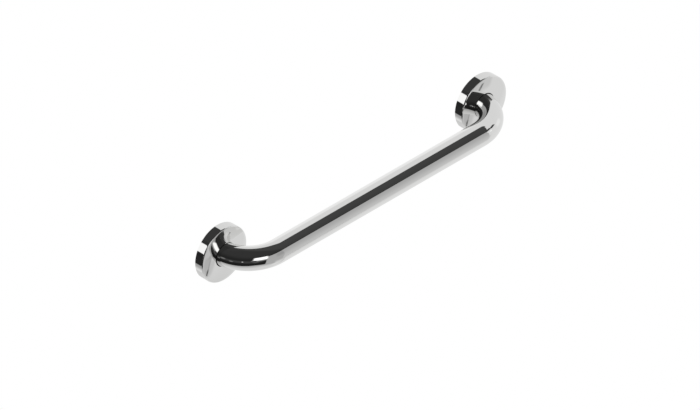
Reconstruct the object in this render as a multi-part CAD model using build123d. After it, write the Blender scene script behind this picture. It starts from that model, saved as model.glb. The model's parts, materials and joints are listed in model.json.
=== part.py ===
from build123d import *
import os

# A grab bar for a bathroom wall: a bent tube, a fixing plate welded to each end of it, and a thin cover
# that snaps over each plate and hides the screws.
# X runs along the bar, Y points into the wall and Z is up. The back of the bar lies on the plane Y = 0,
# and the origin is on that plane, midway between the two plates.

# Tube, in millimetres as everything here
centre_distance = 457.2  # from plate centre to plate centre, 18 in
tube_diameter = 31.75  # outside, 1 1/4 in
tube_wall = 1.2
hand_clearance = 38.1  # from the wall to the near side of the grip, 1 1/2 in

# Fixing plates
plate_thickness = 3.175  # 1/8 in
plate_edge_chamfer = 0.5
weld_leg = 3.0  # width on the plate; the weld climbs the tube a little less
screw_count = 3
screw_hole_diameter = 6.5
screw_edge_distance = 9.0  # from a hole's centre to the plate's edge

# Covers
cover_diameter = 78.0
cover_depth = 12.7  # from the wall to the edge of the face, 1/2 in
cover_crown = 0.8  # how far the face swells towards its middle
cover_wall = 0.8
cover_edge_radius = 1.6  # outside, where the side turns into the face
cover_hole_gap = 0.7  # between the tube and the hole's edge, at the sides
cover_hole_offset = 0.4  # by which the gap is wider on the side that faces away from the bar's middle

# Snap fit of a cover on its plate
cover_tilt_gap = 0.7  # between the plate's edge and the cover's inside, so that the cover can tilt off
nib_radius = 2.5
nib_gap = 0.1  # between a nib on the plate's edge and the cover's inside
nib_angles = (90, 180, 270)  # from the side that faces the bar's middle, which tilts off last and has none

# Sizes that follow from those above
tube_radius = tube_diameter / 2
grip_distance = hand_clearance + tube_radius
bend_radius = grip_distance - plate_thickness  # the bend starts at the front of the plate
cover_radius = cover_diameter / 2
cover_inside_radius = cover_radius - cover_wall
cover_inside_edge_radius = max(cover_edge_radius - cover_wall, cover_wall / 4)
plate_radius = cover_inside_radius - cover_tilt_gap
screw_circle_radius = plate_radius - screw_edge_distance
nib_centre_radius = cover_inside_radius - nib_gap - nib_radius
first_screw_angle = 180 / screw_count  # keeps the holes clear of the bend, which leans over angle 0

# Each end has its own frame: z away from the wall, x towards the bar's middle
left_end = Plane((-centre_distance / 2, 0, 0), x_dir=(1, 0, 0), z_dir=(0, -1, 0))
right_end = Plane((centre_distance / 2, 0, 0), x_dir=(-1, 0, 0), z_dir=(0, -1, 0))


def bent_rod(radius, outwards=0.0):
    """A solid rod along the bar's centre line, from plate to plate, or along a line that runs outside it."""
    half = centre_distance / 2 + outwards
    reach = grip_distance + outwards
    corners = ((-half, 0, 0), (-half, -reach, 0), (half, -reach, 0), (half, 0, 0))
    centre_line = FilletPolyline(*corners, radius=bend_radius + outwards)
    return sweep(left_end * Pos(-outwards, 0) * Circle(radius), path=centre_line)


def weld_bead():
    """A hollow fillet on the front of the plate, still solid where the tube goes."""
    foot = (tube_radius + weld_leg, plate_thickness)
    toe = (tube_radius - tube_wall / 2, plate_thickness + weld_leg)
    outline = Line((0, plate_thickness), foot)
    outline += RadiusArc(foot, toe, weld_leg * 2)
    outline += Polyline(toe, (0, plate_thickness + weld_leg), (0, plate_thickness))
    return revolve(Plane.XZ * make_face(outline), Axis.Z)


def fixing_plate():
    """The round plate with its screw holes, its nibs and the weld, still solid where the tube goes."""
    on_wall = (Align.CENTER, Align.CENTER, Align.MIN)
    plate = Cylinder(plate_radius, plate_thickness, align=on_wall)
    front_edge = plate.edges().sort_by(Axis.Z)[-1]
    plate = chamfer(front_edge, plate_edge_chamfer)
    screw_hole = Cylinder(screw_hole_diameter / 2, plate_thickness, align=on_wall)
    plate -= PolarLocations(screw_circle_radius, screw_count, start_angle=first_screw_angle) * screw_hole
    nib = Pos(nib_centre_radius, 0, 0) * Cylinder(nib_radius, plate_thickness, align=on_wall)
    for angle in nib_angles:
        plate += Rot(Z=angle) * nib
    return plate + weld_bead()


def cup(radius, depth, edge_radius):
    """A round solid with a crowned face, a rounded edge and its flat back on the wall."""
    middle = (0, depth + cover_crown)
    rim = (radius, depth)
    outline = Polyline(middle, (0, 0), (radius, 0), rim)
    outline += TangentArc(middle, rim, tangent=(1, 0))
    profile = make_face(outline)
    corner = profile.vertices().sort_by_distance(rim)[0]
    return revolve(Plane.XZ * fillet(corner, edge_radius), Axis.Z)


def snap_cover():
    """The thin cup of a cover, open at the back and still closed where the tube goes."""
    outside = cup(cover_radius, cover_depth, cover_edge_radius)
    inside = cup(cover_inside_radius, cover_depth - cover_wall, cover_inside_edge_radius)
    return outside - inside


os.makedirs("parts", exist_ok=True)

grip_tube = bent_rod(tube_radius) - bent_rod(tube_radius - tube_wall)
export_step(grip_tube, "parts/grip_tube.step")

# The tube's end fills the plate's hole. The weld follows the tube where it starts to bend, and so does
# the edge of the cover's hole.
tube_envelope = bent_rod(tube_radius)
hole_envelope = bent_rod(tube_radius + cover_hole_gap, cover_hole_offset)
for side, end in (("left", left_end), ("right", right_end)):
    flange = end * fixing_plate() - tube_envelope
    export_step(flange, f"parts/{side}_flange.step")
    cover = end * snap_cover() - hole_envelope
    export_step(cover, f"parts/{side}_cover.step")
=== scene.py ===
"""A chromed grab bar on a white stage: the bent tube, its two covers and the plates under them."""

import json
from math import asin, atan, atan2, cos, degrees, hypot, pi, radians, sin, sqrt
from typing import NamedTuple

import bmesh
import bpy
from bpy.props import FloatProperty, FloatVectorProperty, IntProperty, PointerProperty
from mathutils import Matrix, Vector


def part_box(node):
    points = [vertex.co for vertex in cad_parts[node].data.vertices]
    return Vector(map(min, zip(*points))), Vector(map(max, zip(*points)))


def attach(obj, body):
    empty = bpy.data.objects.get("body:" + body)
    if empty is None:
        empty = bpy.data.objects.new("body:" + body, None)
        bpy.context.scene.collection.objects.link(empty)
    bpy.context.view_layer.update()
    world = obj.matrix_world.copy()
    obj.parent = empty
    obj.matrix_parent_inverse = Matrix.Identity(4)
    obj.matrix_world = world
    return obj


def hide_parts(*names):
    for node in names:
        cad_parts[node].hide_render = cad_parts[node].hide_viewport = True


bl_info = {
    "name": "Grab bar",
    "version": (1, 0, 0),
    "blender": (4, 5, 0),
    "location": "3D View > Sidebar > Grab bar",
    "description": "Builds a chromed grab bar, its covers and fixing plates, and a white stage",
    "category": "Add Mesh",
}

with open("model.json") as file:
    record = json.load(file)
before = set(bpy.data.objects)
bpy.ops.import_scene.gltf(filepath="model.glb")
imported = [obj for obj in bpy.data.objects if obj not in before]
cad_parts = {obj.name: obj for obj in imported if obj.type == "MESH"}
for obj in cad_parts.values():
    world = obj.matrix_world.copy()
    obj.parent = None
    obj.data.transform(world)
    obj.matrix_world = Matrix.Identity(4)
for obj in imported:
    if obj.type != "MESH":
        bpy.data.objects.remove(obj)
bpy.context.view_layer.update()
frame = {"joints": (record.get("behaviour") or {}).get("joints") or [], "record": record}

MM = 0.001
UP = Vector((0, 0, 1))
SIDES = ("left", "right")
# Angles of the screw holes and nibs round a plate, in degrees from the side that faces the bar's middle
SCREW_ANGLES = (60, 180, 300)
NIB_ANGLES = (90, 180, 270)
# Points of a mesh that lie closer together than this are merged
MERGE_DISTANCE = 0.001 * MM
# Edges that turn more than this look crisp
SHARP_ANGLE = radians(32)

# Places and sizes that the frame gives, in metres
mounts = {mount["name"]: mount for mount in frame["record"]["mounts"]}
joints = {joint["name"]: joint for joint in frame["joints"]}
_, tube_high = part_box("grip_tube")
_, cover_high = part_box("left_cover")
plate_low, plate_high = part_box("left_flange")
half_centres = -mounts["left_wall_face"]["pos_m"][0]
tube_radius = tube_high.x - half_centres
bend_centre = Vector(joints["left_cover_slide"]["pos_m"])
bend_radius = bend_centre.x + half_centres
plate_thickness = -bend_centre.y
plate_radius = plate_high.x + half_centres
nib_reach = plate_high.z
weld_height = -plate_low.y - plate_thickness
screws = mounts["wall_fixing"]["dims"]
screw_circle_radius = screws["spacing_y_mm"] * MM / 2 / sin(radians(SCREW_ANGLES[0]))


def length(name, description, default):
    """A property that is a length in metres."""
    return FloatProperty(
        name=name, description=description, default=default, unit="LENGTH", precision=5, min=0
    )


def count(name, description, default, least):
    """A property that is a whole number."""
    return IntProperty(name=name, description=description, default=default, min=least)


def linear(hex_code):
    """An sRGB hex value such as "#E7E7E6" as linear red, green, blue and alpha."""
    shares = [int(hex_code[i : i + 2], 16) / 255 for i in (1, 3, 5)]
    return [s / 12.92 if s <= 0.04045 else ((s + 0.055) / 1.055) ** 2.4 for s in shares] + [1.0]


def colour(name, description, hex_code):
    """A property that is a colour, written as an sRGB hex value."""
    return FloatVectorProperty(
        name=name, description=description, default=linear(hex_code), subtype="COLOR", size=4, min=0, max=1
    )


class TubeSizes(bpy.types.PropertyGroup):
    """The bent tube."""

    radius: length("Radius", "Outside radius of the tube", tube_radius)
    wall: length("Wall", "Thickness of the tube's wall", 1.2 * MM)
    bend_radius: length("Bend radius", "Radius of each bend, at the tube's centre line", bend_radius)
    half_centres: length("Half centres", "From the bar's middle to the centre of a plate", half_centres)
    leg: length("Leg", "From the wall to the start of a bend", plate_thickness)
    segments: count("Segments", "Faces round the tube", 160, least=16)
    bend_steps: count("Bend steps", "Faces along each bend", 32, least=8)


class CoverSizes(bpy.types.PropertyGroup):
    """The thin cups that hide the plates."""

    radius: length("Radius", "Outside radius of a cover", cover_high.z)
    depth: length("Depth", "From the wall to the edge of the face", 12.7 * MM)
    crown: length("Crown", "How far the face swells towards its middle", 0.8 * MM)
    wall: length("Wall", "Thickness of the sheet", 0.8 * MM)
    edge_radius: length("Edge radius", "Outside radius where the side turns into the face", 1.6 * MM)
    hole_gap: length("Hole gap", "Gap between the tube and the hole's edge, at the sides", 0.7 * MM)
    hole_offset: length("Hole offset", "How much wider the gap is away from the bar's middle", 0.4 * MM)
    segments: count("Segments", "Faces round a cover", 192, least=16)


class PlateSizes(bpy.types.PropertyGroup):
    """The fixing plates and the welds that hold them on the tube."""

    radius: length("Radius", "Radius of a plate", plate_radius)
    thickness: length("Thickness", "Thickness of a plate", plate_thickness)
    chamfer: length("Chamfer", "Chamfer on the front of the plate's edge", 0.5 * MM)
    nib_radius: length("Nib radius", "Radius of the nibs that a cover grips", 2.5 * MM)
    nib_reach: length("Nib reach", "From the plate's centre to the tip of a nib", nib_reach)
    screw_circle_radius: length("Screw circle", "Radius of the circle of screw holes", screw_circle_radius)
    screw_hole_radius: length("Screw holes", "Radius of a screw hole", screws["hole_r_mm"] * MM)
    hole_edge: length("Hole edge", "Broken edge of a screw hole", 0.25 * MM)
    weld_leg: length("Weld leg", "Width of the weld on the plate", 3.0 * MM)
    weld_height: length("Weld height", "How far the weld climbs the tube", weld_height)
    ripple: length("Ripple", "Height of the ripples in the weld", 0.09 * MM)
    ripple_spacing: length("Ripple spacing", "From one ripple of the weld to the next", 1.2 * MM)
    segments: count("Segments", "Faces round a plate", 360, least=36)
    hole_segments: count("Hole segments", "Faces round a screw hole", 48, least=12)


class Finishes(bpy.types.PropertyGroup):
    """Colours of the metals."""

    chrome: colour("Chrome", "Mirror chrome", "#E7E7E6")
    # Unpolished steel, darkened well past real steel as painted shade so that the gap round the tube looks
    # dark
    inside: colour("Inside", "Unpolished inside of the covers and the tube", "#5E5D5B")
    steel: colour("Steel", "Plain rolled steel of the plates", "#A9A7A2")
    steel_dark: colour("Steel grain", "Darker streaks in the rolled steel", "#8C8A86")
    weld: colour("Weld", "Bright metal of the weld", "#B4ADA2")
    straw: colour("Straw", "First heat tint beside the weld", "#A88A58")
    blue: colour("Blue", "Second heat tint beside the weld", "#5F6B86")


class StageSettings(bpy.types.PropertyGroup):
    """The camera's view, the floor and the background."""

    view_azimuth: FloatProperty(
        name="View azimuth", description="Angle of the view round the bar",
        default=radians(-45), subtype="ANGLE",
    )
    view_elevation: FloatProperty(
        name="View elevation", description="Height of the view", default=atan(sqrt(0.5)), subtype="ANGLE"
    )
    view_width: length("View width", "Width that the camera takes in", 0.87126)
    view_distance: length("View distance", "From the camera to what it looks at", 1.5)
    aim: FloatVectorProperty(
        name="Aim", description="Point in the middle of the picture",
        default=(-0.012574, -0.01752, -0.030094), subtype="TRANSLATION", unit="LENGTH", precision=5,
    )
    floor_drop: length("Floor drop", "Height of the bar above the floor, as on a wall", 0.85)
    floor_radius: length("Floor radius", "Radius of the floor", 4.0)
    floor: colour("Floor", "Pale floor", "#F4F4F2")
    background: colour("Background", "What the camera sees round the bar", "#FFFFFF")


class StudioPanel(NamedTuple):
    """One flat thing in the studio: where it stands round the bar, and how bright it is."""

    left: float  # azimuths of its sides in degrees, from +Y towards +X
    right: float
    bottom: float  # elevations of its edges in degrees, straight ahead of it
    top: float
    foot: float  # brightness at its bottom edge, where 1 is a white card in full light
    head: float  # and at its top edge
    soft: float  # width of its blurred edge in degrees
    facing: float | None = None  # azimuth straight ahead of it, if that isn't midway between its sides
    lean: float = 0.0  # angle in degrees by which its sides lean to the left at the top


class StudioLamp(NamedTuple):
    """One round light with a blurred edge, in degrees."""

    azimuth: float
    elevation: float
    width: float
    level: float


class StudioShade(NamedTuple):
    """A slow change of brightness across the dark part of the studio, in degrees towards one direction."""

    azimuth: float  # of that direction
    elevation: float
    start: float  # angles above the plane that is square to it
    end: float
    level: float  # how much brighter it is at the end


# How bright a white card in the studio is, next to the white background
STUDIO_LIGHT = 1.111
# The studio that the chrome mirrors, from the back to the front
STUDIO = {
    "back wall": StudioPanel(left=-38, right=34, bottom=-36, top=42, foot=0.7, head=0.6, soft=8),
    "near floor": StudioPanel(left=-62, right=34, bottom=-52, top=-38.5, foot=0.8, head=0.4, soft=2.5),
    "light wall": StudioPanel(
        left=28, right=106, bottom=-66, top=53.6, foot=0.775, head=0.735, soft=0.6, facing=74
    ),
    "sloping end of the light wall": StudioPanel(
        left=105, right=132.5, bottom=-66, top=57.7, foot=0.77, head=0.73, soft=0.6, facing=66.2
    ),
    "light wall by the corner": StudioPanel(
        left=131, right=139.5, bottom=-45, top=23, foot=0.715, head=0.76, soft=1.2
    ),
    "shade beside the corner": StudioPanel(
        left=135.3, right=140, bottom=-33.2, top=-10, foot=0.6, head=0.61, soft=0.7
    ),
    "dark corner of the ceiling": StudioPanel(
        left=-40, right=36.3, bottom=40, top=78, foot=0.039, head=0.039, soft=1.2
    ),
    "bright patch on the light wall": StudioPanel(
        left=28, right=48, bottom=-22, top=22, foot=0.88, head=0.88, soft=14
    ),
    "lamp light on the light wall": StudioPanel(
        left=97, right=113, bottom=-8, top=14, foot=0.85, head=0.85, soft=9
    ),
    "dark frame on the light wall": StudioPanel(
        left=111.8, right=124.5, bottom=19, top=30, foot=0.05, head=0.05, soft=1.8
    ),
    "dark frame by the corner": StudioPanel(
        left=123, right=133, bottom=23.2, top=34, foot=0.05, head=0.05, soft=1.8
    ),
    "dark end of the light wall": StudioPanel(
        left=128, right=137, bottom=28, top=45, foot=0.05, head=0.05, soft=1.8
    ),
    "lit floor by the corner": StudioPanel(
        left=132, right=159, bottom=-62, top=-38, foot=0.78, head=0.65, soft=4
    ),
    "grey wall": StudioPanel(left=139.5, right=188, bottom=-37, top=27.3, foot=0.44, head=0.42, soft=1),
    "darker part of the grey wall": StudioPanel(
        left=146, right=164, bottom=-2, top=21, foot=0.36, head=0.33, soft=9
    ),
    "lit strip of the grey wall": StudioPanel(
        left=139, right=147, bottom=-35, top=25, foot=0.585, head=0.425, soft=2
    ),
    "skirting": StudioPanel(left=138.2, right=165, bottom=-38.5, top=-31, foot=0.55, head=0.55, soft=0.6),
    "shade beyond the lamp stand": StudioPanel(
        left=138.15, right=139.6, bottom=-36.9, top=-34.4, foot=0.475, head=0.475, soft=0.5
    ),
    "shade before the lamp stand": StudioPanel(
        left=136.8, right=138.15, bottom=-37, top=-34.9, foot=0.575, head=0.575, soft=0.8
    ),
    "lamp stand": StudioPanel(
        left=121.36, right=121.86, bottom=-34.7, top=-32.35, foot=0.4, head=0.13, soft=0.25,
        facing=138, lean=23,
    ),
    "lower part of the lamp stand": StudioPanel(
        left=144.76, right=145.08, bottom=-36.1, top=-34.6, foot=0.34, head=0.42, soft=0.25,
        facing=138, lean=-9.4,
    ),
    "foot of the lamp stand": StudioPanel(
        left=144.76, right=145.1, bottom=-36.85, top=-36.05, foot=0.02, head=0.06, soft=0.25,
        facing=138, lean=-9.4,
    ),
    "far wall": StudioPanel(left=195, right=282, bottom=-13, top=6, foot=0.045, head=0.05, soft=6),
    "glow under the first soft box": StudioPanel(
        left=186, right=208, bottom=-2, top=11, foot=0.043, head=0.57, soft=4
    ),
    "first soft box": StudioPanel(
        left=186.6, right=216.8, bottom=11.2, top=32.2, foot=1.4, head=1.4, soft=6, facing=199, lean=10
    ),
    "second soft box": StudioPanel(
        left=-65, right=-40, bottom=5.7, top=32.6, foot=1.04, head=1.04, soft=1.5
    ),
}
# Round lights and bright spots
LAMPS = (
    StudioLamp(azimuth=131, elevation=11, width=12, level=1.05),
    StudioLamp(azimuth=-124, elevation=-1.2, width=5, level=1.1),
    StudioLamp(azimuth=-143, elevation=7, width=8, level=0.2),
    StudioLamp(azimuth=-101, elevation=-7.5, width=13, level=0.19),
    StudioLamp(azimuth=-83.5, elevation=1, width=17, level=0.18),
    StudioLamp(azimuth=-150, elevation=-5, width=22, level=0.09),
    StudioLamp(azimuth=-51, elevation=-20, width=60, level=0.022),
)
# The dark walls grow a little lighter upwards, and so does the ceiling over them and over the light wall
DARK_LEVEL = 0.0125
DARK_SHADES = (
    StudioShade(azimuth=0, elevation=90, start=-32, end=4, level=0.006),
    StudioShade(azimuth=0, elevation=90, start=15, end=55, level=0.016),
    StudioShade(azimuth=85, elevation=30, start=37, end=48.5, level=0.021),
)
# The studio's floor is dim by the dark wall and at its far edges. Angles are in degrees.
FLOOR_LEVELS = (0.41, 0.715)  # brightness where it is dim and where it is bright
FLOOR_EDGE = -36.0  # elevation of its far edges
FLOOR_EDGE_SOFT = 1.5  # width of their blur
FLOOR_BRIGHT = -66.0  # elevation below which it is bright
DARK_WALL_FACING = 250  # azimuth straight ahead of the dark wall
DARK_WALL_FOOT = -43.5  # elevation of the dark wall's foot
FLOOR_BY_DARK_WALL = (-6, 40)  # angles from that foot between which the floor grows bright

# Sockets of a Mix node by their numbers, because those for levels and those for colours share their names
MIX_SHARE = 0
FIRST_LEVEL, SECOND_LEVEL, MIXED_LEVEL = 2, 3, 0
FIRST_COLOUR, SECOND_COLOUR, MIXED_COLOUR = 6, 7, 2


def add(tree, kind, inputs=None, **settings):
    """Adds a node to a tree with its settings, and sets or links its inputs by their name or number."""
    made = tree.nodes.new(kind)
    for name, value in settings.items():
        setattr(made, name, value)
    for socket, value in (inputs or {}).items():
        if isinstance(value, bpy.types.NodeSocket):
            tree.links.new(value, made.inputs[socket])
        else:
            made.inputs[socket].default_value = value
    return made


def bare(block):
    """Clears a new material or world of the nodes that it starts with, and returns it and its node tree."""
    block.use_nodes = True
    block.node_tree.nodes.clear()
    return block, block.node_tree


def mirror_chrome(finishes):
    """Bright chrome over polished steel.

    A clean neutral mirror: what shows is the studio. Buffing leaves lines round the tube and round the
    covers. They are far too fine to see, so they are drawn 1.6 mm apart and only just change the gloss.
    """
    line_spacing = 1.6 * MM
    line_height = 0.0002 * MM
    haze_size = 35 * MM
    material, tree = bare(bpy.data.materials.new("mirror_chrome"))
    across = add(tree, "ShaderNodeAttribute", attribute_name="across_polish")
    place = add(tree, "ShaderNodeTexCoord")
    lines = add(
        tree, "ShaderNodeTexNoise",
        {"W": across.outputs["Fac"], "Scale": 1 / line_spacing, "Detail": 3.0},
        noise_dimensions="1D",
    )
    haze = add(
        tree, "ShaderNodeTexNoise",
        {"Vector": place.outputs["Object"], "Scale": 1 / haze_size, "Detail": 2.0},
    )
    both = add(
        tree, "ShaderNodeMath",
        {0: lines.outputs["Fac"], 1: haze.outputs["Fac"]},
        operation="MULTIPLY",
    )
    gloss = add(
        tree, "ShaderNodeMapRange",
        {"Value": both.outputs[0], "From Min": 0.1, "From Max": 0.5, "To Min": 0.012, "To Max": 0.035},
    )
    ridge = add(
        tree, "ShaderNodeBump", {"Strength": 1.0, "Distance": line_height, "Height": lines.outputs["Fac"]}
    )
    shader = add(
        tree, "ShaderNodeBsdfPrincipled",
        {
            "Base Color": finishes.chrome,
            "Metallic": 1.0,
            "Roughness": gloss.outputs["Result"],
            "Normal": ridge.outputs["Normal"],
        },
    )
    add(tree, "ShaderNodeOutputMaterial", {"Surface": shader.outputs["BSDF"]})
    return material


def unpolished_inside_and_gap_shade(finishes):
    """Plain steel inside the covers and the tube, which is never buffed.

    A dull grey, darker than real steel as painted shade so that the gap round the tube looks dark, with a
    cloudy sheen.
    """
    cloud_size = 4 * MM
    grain_height = 0.01 * MM
    material, tree = bare(bpy.data.materials.new("unpolished_inside_and_gap_shade"))
    place = add(tree, "ShaderNodeTexCoord")
    clouds = add(
        tree, "ShaderNodeTexNoise",
        {"Vector": place.outputs["Object"], "Scale": 1 / cloud_size, "Detail": 4.0},
    )
    dull = add(
        tree, "ShaderNodeMapRange",
        {"Value": clouds.outputs["Fac"], "From Min": 0.3, "From Max": 0.7, "To Min": 0.38, "To Max": 0.55},
    )
    grain = add(
        tree, "ShaderNodeBump", {"Strength": 1.0, "Distance": grain_height, "Height": clouds.outputs["Fac"]}
    )
    # The base colour is darker than real steel: painted shade for the gap round the tube
    shader = add(
        tree, "ShaderNodeBsdfPrincipled",
        {
            "Base Color": finishes.inside,
            "Metallic": 1.0,
            "Roughness": dull.outputs["Result"],
            "Normal": grain.outputs["Normal"],
        },
    )
    add(tree, "ShaderNodeOutputMaterial", {"Surface": shader.outputs["BSDF"]})
    return material


def rolled_steel(finishes, centre):
    """Cold-rolled stainless steel sheet as it comes from the mill, with heat tints beside the weld.

    A dull grey metal with faint streaks along the rolling direction, and rings of straw and blue where it
    was hot.
    """
    streak_width = 0.9 * MM
    streak_height = 0.0015 * MM
    squeeze = (0.06, 1.0, 1.0)  # makes the streaks about 17 times as long as they are wide
    flatten = (1, 0, 1)  # leaves only the distance across the plate
    heat_start = tube_radius + 3 * MM
    heat_end = tube_radius + 11 * MM
    heat_wander = 3 * MM
    wander_size = 9 * MM
    straw_stop = 0.4
    material, tree = bare(bpy.data.materials.new("rolled_steel"))
    place = add(tree, "ShaderNodeTexCoord")
    from_centre = add(tree, "ShaderNodeMapping", {"Vector": place.outputs["Object"], "Location": -centre})
    along = add(tree, "ShaderNodeMapping", {"Vector": place.outputs["Object"], "Scale": squeeze})
    grain = add(
        tree, "ShaderNodeTexNoise",
        {"Vector": along.outputs["Vector"], "Scale": 1 / streak_width, "Detail": 4.0},
    )
    metal = add(
        tree, "ShaderNodeMix",
        {MIX_SHARE: grain.outputs["Fac"], FIRST_COLOUR: finishes.steel_dark, SECOND_COLOUR: finishes.steel},
        data_type="RGBA",
    )
    flat = add(
        tree, "ShaderNodeVectorMath", {0: from_centre.outputs["Vector"], 1: flatten}, operation="MULTIPLY"
    )
    reach = add(tree, "ShaderNodeVectorMath", {0: flat.outputs["Vector"]}, operation="LENGTH")
    wander = add(
        tree, "ShaderNodeTexNoise",
        {"Vector": place.outputs["Object"], "Scale": 1 / wander_size, "Detail": 1.0},
    )
    uneven = add(
        tree, "ShaderNodeMath",
        {0: wander.outputs["Fac"], 1: heat_wander, 2: reach.outputs["Value"]},
        operation="MULTIPLY_ADD",
    )
    heat = add(
        tree, "ShaderNodeMapRange",
        {"Value": uneven.outputs[0], "From Min": heat_start, "From Max": heat_end},
    )
    tint = add(tree, "ShaderNodeValToRGB", {"Fac": heat.outputs["Result"]})
    stops = tint.color_ramp.elements
    stops[0].color = finishes.blue
    stops[1].color = finishes.steel
    stops.new(straw_stop).color = finishes.straw
    fade = add(
        tree, "ShaderNodeMapRange",
        {"Value": heat.outputs["Result"], "To Min": 0.75, "To Max": 0.0},
        interpolation_type="SMOOTHSTEP",
    )
    shown = add(
        tree, "ShaderNodeMix",
        {
            MIX_SHARE: fade.outputs["Result"],
            FIRST_COLOUR: metal.outputs[MIXED_COLOUR],
            SECOND_COLOUR: tint.outputs["Color"],
        },
        data_type="RGBA",
    )
    dull = add(
        tree, "ShaderNodeMapRange",
        {"Value": grain.outputs["Fac"], "From Min": 0.3, "From Max": 0.7, "To Min": 0.33, "To Max": 0.42},
    )
    streak = add(
        tree, "ShaderNodeBump", {"Strength": 1.0, "Distance": streak_height, "Height": grain.outputs["Fac"]}
    )
    shader = add(
        tree, "ShaderNodeBsdfPrincipled",
        {
            "Base Color": shown.outputs[MIXED_COLOUR],
            "Metallic": 1.0,
            "Roughness": dull.outputs["Result"],
            "Normal": streak.outputs["Normal"],
        },
    )
    add(tree, "ShaderNodeOutputMaterial", {"Surface": shader.outputs["BSDF"]})
    return material


def weld_metal(finishes):
    """A bead of stainless weld metal, laid in overlapping ripples.

    Bright on the crests, tinted straw in patches where the bead cooled slowly.
    """
    patch_size = 6 * MM
    material, tree = bare(bpy.data.materials.new("weld_metal"))
    place = add(tree, "ShaderNodeTexCoord")
    patches = add(
        tree, "ShaderNodeTexNoise",
        {"Vector": place.outputs["Object"], "Scale": 1 / patch_size, "Detail": 3.0},
    )
    amount = add(
        tree, "ShaderNodeMapRange",
        {"Value": patches.outputs["Fac"], "From Min": 0.45, "From Max": 0.7, "To Min": 0.0, "To Max": 0.7},
    )
    shown = add(
        tree, "ShaderNodeMix",
        {MIX_SHARE: amount.outputs["Result"], FIRST_COLOUR: finishes.weld, SECOND_COLOUR: finishes.straw},
        data_type="RGBA",
    )
    dull = add(
        tree, "ShaderNodeMapRange",
        {"Value": patches.outputs["Fac"], "From Min": 0.3, "From Max": 0.7, "To Min": 0.2, "To Max": 0.38},
    )
    shader = add(
        tree, "ShaderNodeBsdfPrincipled",
        {"Base Color": shown.outputs[MIXED_COLOUR], "Metallic": 1.0, "Roughness": dull.outputs["Result"]},
    )
    add(tree, "ShaderNodeOutputMaterial", {"Surface": shader.outputs["BSDF"]})
    return material


def pale_floor(settings):
    """A matt white-painted floor, plain white to the camera and see-through from below."""
    material, tree = bare(bpy.data.materials.new("pale_floor"))
    light_path = add(tree, "ShaderNodeLightPath")
    seen = add(
        tree, "ShaderNodeMath",
        {0: light_path.outputs["Is Camera Ray"], 1: light_path.outputs["Is Glossy Ray"]},
        operation="MAXIMUM",
    )
    seen_through = add(
        tree, "ShaderNodeMath", {0: seen.outputs[0], 1: light_path.outputs["Is Transmission Ray"]},
        operation="MAXIMUM",
    )
    matt = add(tree, "ShaderNodeBsdfDiffuse", {"Color": settings.floor})
    white = add(tree, "ShaderNodeEmission", {"Color": settings.background, "Strength": 1.0})
    top = add(
        tree, "ShaderNodeMixShader", {0: seen_through.outputs[0], 1: matt.outputs[0], 2: white.outputs[0]}
    )
    clear = add(tree, "ShaderNodeBsdfTransparent")
    side = add(tree, "ShaderNodeNewGeometry")
    both = add(
        tree, "ShaderNodeMixShader", {0: side.outputs["Backfacing"], 1: top.outputs[0], 2: clear.outputs[0]}
    )
    add(tree, "ShaderNodeOutputMaterial", {"Surface": both.outputs[0]})
    return material


def heading(azimuth):
    """The level direction at an azimuth in degrees, from +Y towards +X."""
    return Vector((sin(radians(azimuth)), cos(radians(azimuth)), 0))


def towards(azimuth, elevation):
    """The direction at an azimuth and an elevation in degrees."""
    rise = radians(elevation)
    return heading(azimuth) * cos(rise) + UP * sin(rise)


def ramp(tree, direction, axis, start, end, low, high):
    """A level that goes smoothly from low to high as the direction goes from start to end along an axis."""
    along = add(tree, "ShaderNodeVectorMath", {0: direction, 1: axis}, operation="DOT_PRODUCT")
    made = add(
        tree, "ShaderNodeMapRange",
        {
            "Value": along.outputs["Value"],
            "From Min": start,
            "From Max": end,
            "To Min": low,
            "To Max": high,
        },
        interpolation_type="SMOOTHSTEP",
    )
    return made.outputs["Result"]


def panel_edges(panel):
    """The four planes through the bar that bound a panel, each as a normal that points into the panel."""
    facing = (panel.left + panel.right) / 2 if panel.facing is None else panel.facing
    ahead = heading(facing)
    bottom, top, lean = radians(panel.bottom), radians(panel.top), radians(panel.lean)
    return (
        heading(panel.left + 90) * cos(lean) + UP * sin(lean),
        heading(panel.right - 90) * cos(lean) - UP * sin(lean),
        UP * cos(bottom) - ahead * sin(bottom),
        ahead * sin(top) - UP * cos(top),
    )


def panel_mask(tree, direction, panel):
    """1 where a direction meets the panel and 0 where it misses, with soft edges."""
    blur = sin(radians(panel.soft)) / 2
    mask = 1.0
    for normal in panel_edges(panel):
        inside = ramp(tree, direction, normal, -blur, blur, 0, 1)
        mask = add(tree, "ShaderNodeMath", {0: mask, 1: inside}, operation="MULTIPLY").outputs[0]
    return mask


def laid_over(tree, level, own, mask):
    """A level with a thing's own level in front of it, where the thing's mask is 1."""
    mixed = add(tree, "ShaderNodeMix", {MIX_SHARE: mask, FIRST_LEVEL: level, SECOND_LEVEL: own})
    return mixed.outputs[MIXED_LEVEL]


def studio_floor(tree, direction, level):
    """Lays the floor over a level: below the floor's far edges and in front of the dark wall."""
    wall = towards(DARK_WALL_FACING, 90 + DARK_WALL_FOOT)
    edge, blur = sin(radians(FLOOR_EDGE)), sin(radians(FLOOR_EDGE_SOFT)) / 2
    near, far = (-sin(radians(angle)) for angle in FLOOR_BY_DARK_WALL)
    dim, bright = FLOOR_LEVELS
    shown = add(
        tree, "ShaderNodeMath",
        {
            0: ramp(tree, direction, UP, edge + blur, edge - blur, 0, 1),
            1: ramp(tree, direction, wall, blur, -blur, 0, 1),
        },
        operation="MINIMUM",
    )
    light = add(
        tree, "ShaderNodeMath",
        {
            0: ramp(tree, direction, UP, edge, sin(radians(FLOOR_BRIGHT)), dim, bright),
            1: ramp(tree, direction, wall, near, far, dim, bright),
        },
        operation="MINIMUM",
    )
    return laid_over(tree, level, light.outputs[0], shown.outputs[0])


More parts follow.
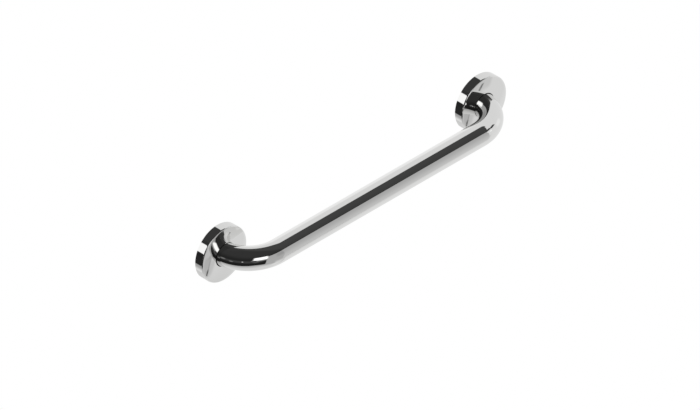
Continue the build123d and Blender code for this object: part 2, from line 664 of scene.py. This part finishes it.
def studio_brightness(tree, direction):
    """How bright the studio is in each direction."""
    level = DARK_LEVEL
    for shade in DARK_SHADES:
        axis = towards(shade.azimuth, shade.elevation)
        start, end = sin(radians(shade.start)), sin(radians(shade.end))
        more = ramp(tree, direction, axis, start, end, 0, shade.level)
        level = add(tree, "ShaderNodeMath", {0: level, 1: more}, operation="ADD").outputs[0]
    level = studio_floor(tree, direction, level)
    for panel in STUDIO.values():
        own = ramp(
            tree, direction, UP, sin(radians(panel.bottom)), sin(radians(panel.top)), panel.foot, panel.head
        )
        level = laid_over(tree, level, own, panel_mask(tree, direction, panel))
    for lamp in LAMPS:
        middle = towards(lamp.azimuth, lamp.elevation)
        glow = ramp(tree, direction, middle, cos(radians(lamp.width / 2)), 1, 0, lamp.level)
        level = add(tree, "ShaderNodeMath", {0: level, 1: glow}, operation="MAXIMUM").outputs[0]
    return add(tree, "ShaderNodeMath", {0: level, 1: STUDIO_LIGHT}, operation="MULTIPLY").outputs[0]


def studio_world(settings):
    """White to the camera and through glass, and to all else a studio with light and dark walls."""
    world, tree = bare(bpy.data.worlds.new("studio"))
    direction = add(tree, "ShaderNodeTexCoord").outputs["Generated"]
    studio = add(
        tree, "ShaderNodeBackground",
        {"Color": (1, 1, 1, 1), "Strength": studio_brightness(tree, direction)},
    )
    white = add(tree, "ShaderNodeBackground", {"Color": settings.background, "Strength": 1.0})
    light_path = add(tree, "ShaderNodeLightPath")
    seen = add(
        tree, "ShaderNodeMath",
        {0: light_path.outputs["Is Camera Ray"], 1: light_path.outputs["Is Transmission Ray"]},
        operation="MAXIMUM",
    )
    shown = add(
        tree, "ShaderNodeMixShader",
        {0: seen.outputs[0], 1: studio.outputs[0], 2: white.outputs[0]},
    )
    add(tree, "ShaderNodeOutputWorld", {"Surface": shown.outputs[0]})
    return world


def end_place(side):
    """The frame of one end: z away from the wall, x towards the bar's middle."""
    inwards = 1 if side == "left" else -1
    turn = Matrix(((inwards, 0, 0), (0, 0, -1), (0, inwards, 0))).to_4x4()
    return Matrix.Translation((-inwards * half_centres, 0, 0)) @ turn


def edges_of(verts):
    """The edges that have both ends among these vertices."""
    chosen = set(verts)
    return [edge for edge in {e for v in verts for e in v.link_edges} if chosen.issuperset(edge.verts)]


def only(kind, geometry):
    """The vertices, the edges or the faces among what a bmesh operator made."""
    return [item for item in geometry if isinstance(item, kind)]


def extruded(bm, edges, step):
    """Extrudes a loop of edges by a vector, and returns the new loop."""
    made = bmesh.ops.extrude_edge_only(bm, edges=edges)["geom"]
    bmesh.ops.translate(bm, verts=only(bmesh.types.BMVert, made), vec=step)
    return only(bmesh.types.BMEdge, made)


def bent(bm, edges, centre, angle, steps):
    """Sweeps a loop of edges round an upright axis, and returns the new loop."""
    made = bmesh.ops.spin(bm, geom=edges, cent=centre, axis=(0, 0, 1), angle=angle, steps=steps)
    return only(bmesh.types.BMEdge, made["geom_last"])


def arc(bm, vert, centre, angle, steps):
    """Draws an arc from a vertex in the plane of a profile, and returns the vertex at its far end."""
    made = bmesh.ops.spin(bm, geom=[vert], cent=centre, axis=(0, 1, 0), angle=angle, steps=steps)
    return only(bmesh.types.BMVert, made["geom_last"])[0]


def line(bm, vert, end):
    """Draws a line from a vertex, and returns the vertex at its far end."""
    last = bm.verts.new(end)
    bm.edges.new((vert, last))
    return last


def turned(bm, segments):
    """Turns a profile once round the z axis."""
    bmesh.ops.spin(
        bm, geom=bm.verts[:] + bm.edges[:], cent=(0, 0, 0), axis=(0, 0, 1), angle=2 * pi, steps=segments,
        use_merge=True,
    )
    bmesh.ops.remove_doubles(bm, verts=bm.verts, dist=MERGE_DISTANCE)
    bmesh.ops.recalc_face_normals(bm, faces=bm.faces)


def placed(bm, name, materials):
    """Puts a mesh with its materials into the scene as an object."""
    mesh = bpy.data.meshes.new(name)
    bm.to_mesh(mesh)
    bm.free()
    for material in materials:
        mesh.materials.append(material)
    made = bpy.data.objects.new(name, mesh)
    bpy.context.scene.collection.objects.link(made)
    return made


def finished(bm, name, materials, body, node=None):
    """Makes a piece of the object from a mesh, with smooth faces and crisp edges."""
    piece = placed(bm, name, materials)
    mesh = piece.data
    mesh.polygons.foreach_set("use_smooth", [True] * len(mesh.polygons))
    mesh.set_sharp_from_angle(angle=SHARP_ANGLE)
    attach(piece, body)
    if node:
        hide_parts(node)


class GRABBAR_OT_tube(bpy.types.Operator):
    """Bends the chromed tube from plate to plate"""

    bl_idname = "grab_bar.tube"
    bl_label = "Bent tube"

    def execute(self, context):
        sizes = context.scene.grab_bar_tube
        bm = bmesh.new()
        across = bm.verts.layers.float.new("across_polish")
        start = Matrix.Translation((-sizes.half_centres, 0, 0)) @ Matrix.Rotation(pi / 2, 4, "X")
        ring = bmesh.ops.create_circle(bm, radius=sizes.radius, segments=sizes.segments, matrix=start)
        edges = extruded(bm, edges_of(ring["verts"]), (0, -sizes.leg, 0))
        reach = sizes.half_centres - sizes.bend_radius
        edges = bent(bm, edges, (-reach, -sizes.leg, 0), pi / 2, sizes.bend_steps)
        edges = extruded(bm, edges, (2 * reach, 0, 0))
        edges = bent(bm, edges, (reach, -sizes.leg, 0), pi / 2, sizes.bend_steps)
        extruded(bm, edges, (0, sizes.leg, 0))
        bmesh.ops.recalc_face_normals(bm, faces=bm.faces)
        bmesh.ops.solidify(bm, geom=bm.faces[:], thickness=sizes.wall)
        for vert in bm.verts:
            vert[across] = self.along_and_off(vert.co, sizes, reach)[0]
        # The bore and the ends get the unpolished grey, which is darkened as painted shade: the middles of
        # their faces lie well below the outside
        for face in bm.faces:
            off = self.along_and_off(face.calc_center_median(), sizes, reach)[1]
            face.material_index = int(off < sizes.radius - sizes.wall / 4)
        finishes = context.scene.grab_bar_finishes
        metals = [mirror_chrome(finishes), unpolished_inside_and_gap_shade(finishes)]
        finished(bm, "chrome_tube", metals, "bar", "grip_tube")
        return {"FINISHED"}

    def along_and_off(self, place, sizes, reach):
        """How far along the tube's centre line a point lies, from the bar's middle, and how far off it."""
        beyond, off_wall = abs(place.x) - reach, -place.y - sizes.leg
        if beyond <= 0:
            return place.x, hypot(off_wall - sizes.bend_radius, place.z)
        turn = atan2(beyond, max(off_wall, 0))
        run = reach + sizes.bend_radius * turn - min(off_wall, 0)
        off = hypot(hypot(beyond, max(off_wall, 0)) - sizes.bend_radius, place.z)
        return (run if place.x > 0 else -run), off


class GRABBAR_OT_covers(bpy.types.Operator):
    """Forms the two chromed covers, with a hole that follows the bend of the tube"""

    bl_idname = "grab_bar.covers"
    bl_label = "Covers"

    def execute(self, context):
        sizes, tube = context.scene.grab_bar_covers, context.scene.grab_bar_tube
        metals = [bpy.data.materials["mirror_chrome"], bpy.data.materials["unpolished_inside_and_gap_shade"]]
        for side in SIDES:
            bm = bmesh.new()
            across = bm.verts.layers.float.new("across_polish")
            self.draw_profile(bm, sizes, tube)
            turned(bm, sizes.segments)
            bmesh.ops.solidify(bm, geom=bm.faces[:], thickness=sizes.wall)
            self.fit_hole(bm, sizes, tube)
            for vert in bm.verts:
                vert[across] = hypot(vert.co.x, vert.co.y) - vert.co.z
            bm.normal_update()
            # Faces that look back at the middle of the cover's open side are its unpolished inside, darkened
            # as painted shade for the gap round the tube
            for face in bm.faces:
                face.material_index = int(face.normal.dot(face.calc_center_median()) < 0)
            bmesh.ops.transform(bm, matrix=end_place(side), verts=bm.verts)
            cover = f"{side}_cover"
            finished(bm, f"{side}_chrome_cover", metals, cover, cover)
        return {"FINISHED"}

    def draw_profile(self, bm, sizes, tube):
        """Draws half of a cover's section, from the hole over the crowned face and the edge to the wall."""
        face_steps = 14
        edge_steps = 10
        side_shares = (0.9, 0.5, 0)  # heights of the points down the side, as shares of the whole side
        sphere = (sizes.radius**2 + sizes.crown**2) / (2 * sizes.crown)
        sphere_height = sizes.depth + sizes.crown - sphere
        edge = sizes.radius - sizes.edge_radius
        edge_height = sphere_height + sqrt((sphere - sizes.edge_radius) ** 2 - edge**2)
        hole = tube.radius + sizes.hole_gap
        lean = asin(edge / (sphere - sizes.edge_radius))
        first = asin(hole / sphere)
        vert = bm.verts.new((hole, 0, sphere_height + sqrt(sphere**2 - hole**2)))
        vert = arc(bm, vert, (0, 0, sphere_height), lean - first, face_steps)
        vert = arc(bm, vert, (edge, 0, edge_height), pi / 2 - lean, edge_steps)
        for share in side_shares:
            vert = line(bm, vert, (sizes.radius, 0, share * edge_height))

    def fit_hole(self, bm, sizes, tube):
        """Moves the hole's edges so that they keep their gap to the tube, which already leans there."""
        margin = 0.05 * MM
        reach = tube.radius + sizes.hole_gap
        for vert in bm.verts:
            if hypot(vert.co.x, vert.co.y) < reach + margin:
                angle = atan2(vert.co.y, vert.co.x)
                rise = vert.co.z - tube.leg
                rho = tube.bend_radius + sizes.hole_offset - reach * cos(angle)
                vert.co.x = tube.bend_radius - sqrt(rho**2 - rise**2)
                vert.co.y = reach * sin(angle)


class GRABBAR_OT_plates(bpy.types.Operator):
    """Cuts the two steel fixing plates, with their screw holes and the nibs that hold the covers"""

    bl_idname = "grab_bar.plates"
    bl_label = "Fixing plates"

    def execute(self, context):
        sizes, tube = context.scene.grab_bar_plates, context.scene.grab_bar_tube
        for side in SIDES:
            bm = bmesh.new()
            outline = bmesh.ops.create_circle(bm, radius=sizes.radius, segments=sizes.segments)["verts"]
            for vert in outline:
                vert.co *= self.swell(vert.co, sizes)
            bmesh.ops.create_circle(bm, radius=tube_radius, segments=tube.segments)
            outwards = Matrix.Translation((sizes.screw_circle_radius, 0, 0))
            for angle in SCREW_ANGLES:
                place = Matrix.Rotation(radians(angle), 4, "Z") @ outwards
                bmesh.ops.create_circle(
                    bm, radius=sizes.screw_hole_radius, segments=sizes.hole_segments, matrix=place
                )
            filled = bmesh.ops.triangle_fill(bm, use_beauty=True, edges=bm.edges[:], normal=(0, 0, 1))
            faces = only(bmesh.types.BMFace, filled["geom"])
            made = bmesh.ops.extrude_face_region(bm, geom=faces)
            front = only(bmesh.types.BMVert, made["geom"])
            bmesh.ops.translate(bm, verts=front, vec=(0, 0, sizes.thickness))
            bmesh.ops.recalc_face_normals(bm, faces=bm.faces)
            self.break_edges(bm, sizes)
            bmesh.ops.transform(bm, matrix=end_place(side), verts=bm.verts)
            steel = rolled_steel(context.scene.grab_bar_finishes, end_place(side).translation)
            finished(bm, f"{side}_fixing_plate", [steel], "bar", f"{side}_flange")
        return {"FINISHED"}

    def swell(self, place, sizes):
        """How much further out than the plate's edge its outline lies, at the nibs."""
        centre = sizes.nib_reach - sizes.nib_radius
        here = degrees(atan2(place.y, place.x)) % 360
        best = 1.0
        for angle in NIB_ANGLES:
            off = radians(here - angle)
            under = sizes.nib_radius**2 - (centre * sin(off)) ** 2
            if under > 0 and cos(off) > 0:
                best = max(best, (centre * cos(off) + sqrt(under)) / sizes.radius)
        return best

    def break_edges(self, bm, sizes):
        """Chamfers the front of the outline and breaks the front edges of the screw holes."""
        outline_margin = 0.1 * MM
        hole_margin = 1 * MM
        for low, high, width in (
            (sizes.radius - outline_margin, sizes.nib_reach + outline_margin, sizes.chamfer),
            (tube_radius + hole_margin, sizes.radius - hole_margin, sizes.hole_edge),
        ):
            rims = [edge for edge in bm.edges if self.is_front_rim(edge, sizes, low, high)]
            bmesh.ops.bevel(
                bm, geom=rims, offset=width, affect="EDGES", segments=1, profile=0.5, material=-1
            )

    def is_front_rim(self, edge, sizes, low, high):
        """Whether an edge is a square corner on the plate's front, between two distances from its centre."""
        nearly_square = radians(80)
        return (
            edge.is_manifold
            and edge.calc_face_angle() > nearly_square
            and all(vert.co.z > sizes.thickness / 2 for vert in edge.verts)
            and all(low < hypot(vert.co.x, vert.co.y) < high for vert in edge.verts)
        )


class GRABBAR_OT_welds(bpy.types.Operator):
    """Lays the rippled welds between the tube and the plates"""

    bl_idname = "grab_bar.welds"
    bl_label = "Welds"

    steps_per_ripple = 6

    def execute(self, context):
        sizes = context.scene.grab_bar_plates
        metal = weld_metal(context.scene.grab_bar_finishes)
        ripples = round(2 * pi * (tube_radius + sizes.weld_leg / 2) / sizes.ripple_spacing)
        for side in SIDES:
            bm = bmesh.new()
            self.draw_section(bm, sizes)
            turned(bm, ripples * self.steps_per_ripple)
            for vert in bm.verts:
                self.raise_ripple(vert, sizes, ripples)
            bmesh.ops.transform(bm, matrix=end_place(side), verts=bm.verts)
            finished(bm, f"{side}_weld", [metal], "bar")
        return {"FINISHED"}

    def draw_section(self, bm, sizes):
        """Draws the section of the bead, with its root just inside the tube and the plate."""
        depth_in_tube = 0.2 * MM
        depth_in_plate = 0.05 * MM
        face_shares = (0.2, 0.4, 0.6, 0.8)  # points of the open face, from its foot to its head
        sink = 0.12  # share of the way to the root that the face's middle sinks
        pull = 0.25  # share of the way to that middle that points half way are drawn
        root = Vector((tube_radius - depth_in_tube, 0, sizes.thickness - depth_in_plate))
        foot = Vector((tube_radius + sizes.weld_leg, 0, root.z))
        head = Vector((root.x, 0, sizes.thickness + sizes.weld_height))
        middle = (foot + head) / 2 + (root - (foot + head) / 2) * sink
        first = bm.verts.new(foot)
        vert = first
        for share in face_shares:
            vert = line(bm, vert, foot.lerp(head, share).lerp(middle, self.bow(share) * pull))
        vert = line(bm, vert, head)
        vert = line(bm, vert, root)
        bm.edges.new((vert, first))

    def bow(self, share):
        """A curve that is 0 at both ends of the bead's face and 1 half way."""
        return 4 * share * (1 - share)

    def raise_ripple(self, vert, sizes, ripples):
        """Lifts the open face of the bead into ripples that lean along the weld."""
        uneven_waves = ((0.9, 5, 0), (0.7, 13, 1))  # size in radians, waves round the weld, start
        lean = 1.8  # radians by which a ripple runs ahead half way up the face
        out_share, up_share = 0.6, 0.8  # which way the face is lifted
        out = hypot(vert.co.x, vert.co.y) - tube_radius
        up = vert.co.z - sizes.thickness
        bow = self.bow(min(max(out / sizes.weld_leg, 0), 1))
        if up <= 0 or bow <= 0:
            return
        angle = atan2(vert.co.y, vert.co.x)
        uneven = sum(size * sin(waves * angle + start) for size, waves, start in uneven_waves)
        turn = angle * ripples + uneven + bow * lean
        lift = sizes.ripple * bow * (0.5 + 0.5 * cos(turn))
        level = Vector((vert.co.x, vert.co.y, 0)).normalized()
        vert.co += (level * out_share + UP * up_share) * lift


class GRABBAR_OT_stage(bpy.types.Operator):
    """Sets up the floor, the studio round the bar and the camera"""

    bl_idname = "grab_bar.stage"
    bl_label = "Stage"

    def execute(self, context):
        settings = context.scene.grab_bar_stage
        self.lay_floor(settings)
        context.scene.world = studio_world(settings)
        self.place_camera(context, settings)
        context.scene.view_settings.view_transform = "Standard"
        return {"FINISHED"}

    def lay_floor(self, settings):
        """A round floor, as far below as under a bar on a wall. The chrome mirrors the studio's instead."""
        bm = bmesh.new()
        place = Matrix.Translation((0, 0, -settings.floor_drop))
        bmesh.ops.create_circle(bm, cap_ends=True, radius=settings.floor_radius, segments=96, matrix=place)
        floor = placed(bm, "floor", [pale_floor(settings)])
        floor.visible_glossy = False

    def place_camera(self, context, settings):
        """A camera without perspective, as in the photo."""
        azimuth, elevation = settings.view_azimuth, settings.view_elevation
        level = Vector((sin(azimuth), -cos(azimuth), 0))
        back = level * cos(elevation) + UP * sin(elevation)
        camera = bpy.data.objects.new("camera", bpy.data.cameras.new("camera"))
        camera.data.type = "ORTHO"
        camera.data.ortho_scale = settings.view_width
        camera.location = Vector(settings.aim) + back * settings.view_distance
        camera.rotation_euler = back.to_track_quat("Z", "Y").to_euler()
        context.scene.collection.objects.link(camera)
        context.scene.camera = camera


class GRABBAR_PT_sidebar(bpy.types.Panel):
    """Lists the pieces of the bar and their sizes"""

    bl_idname = "GRABBAR_PT_sidebar"
    bl_label = "Grab bar"
    bl_space_type = "VIEW_3D"
    bl_region_type = "UI"
    bl_category = "Grab bar"

    def draw(self, context):
        for operator in OPERATORS:
            self.layout.operator(operator.bl_idname)
        for name in GROUPS:
            column = self.layout.box().column()
            settings = getattr(context.scene, name)
            for key in settings.__annotations__:
                column.prop(settings, key)


GROUPS = {
    "grab_bar_tube": TubeSizes,
    "grab_bar_covers": CoverSizes,
    "grab_bar_plates": PlateSizes,
    "grab_bar_finishes": Finishes,
    "grab_bar_stage": StageSettings,
}
OPERATORS = (GRABBAR_OT_tube, GRABBAR_OT_covers, GRABBAR_OT_plates, GRABBAR_OT_welds, GRABBAR_OT_stage)
CLASSES = (*GROUPS.values(), *OPERATORS, GRABBAR_PT_sidebar)


def register():
    for cls in CLASSES:
        bpy.utils.register_class(cls)
    for name, group in GROUPS.items():
        setattr(bpy.types.Scene, name, PointerProperty(type=group))


def unregister():
    for name in GROUPS:
        delattr(bpy.types.Scene, name)
    for cls in reversed(CLASSES):
        bpy.utils.unregister_class(cls)


def main():
    """Builds every piece and the stage."""
    register()
    bpy.ops.grab_bar.tube()
    bpy.ops.grab_bar.covers()
    bpy.ops.grab_bar.plates()
    bpy.ops.grab_bar.welds()
    bpy.ops.grab_bar.stage()


if __name__ == "__main__":
    main()
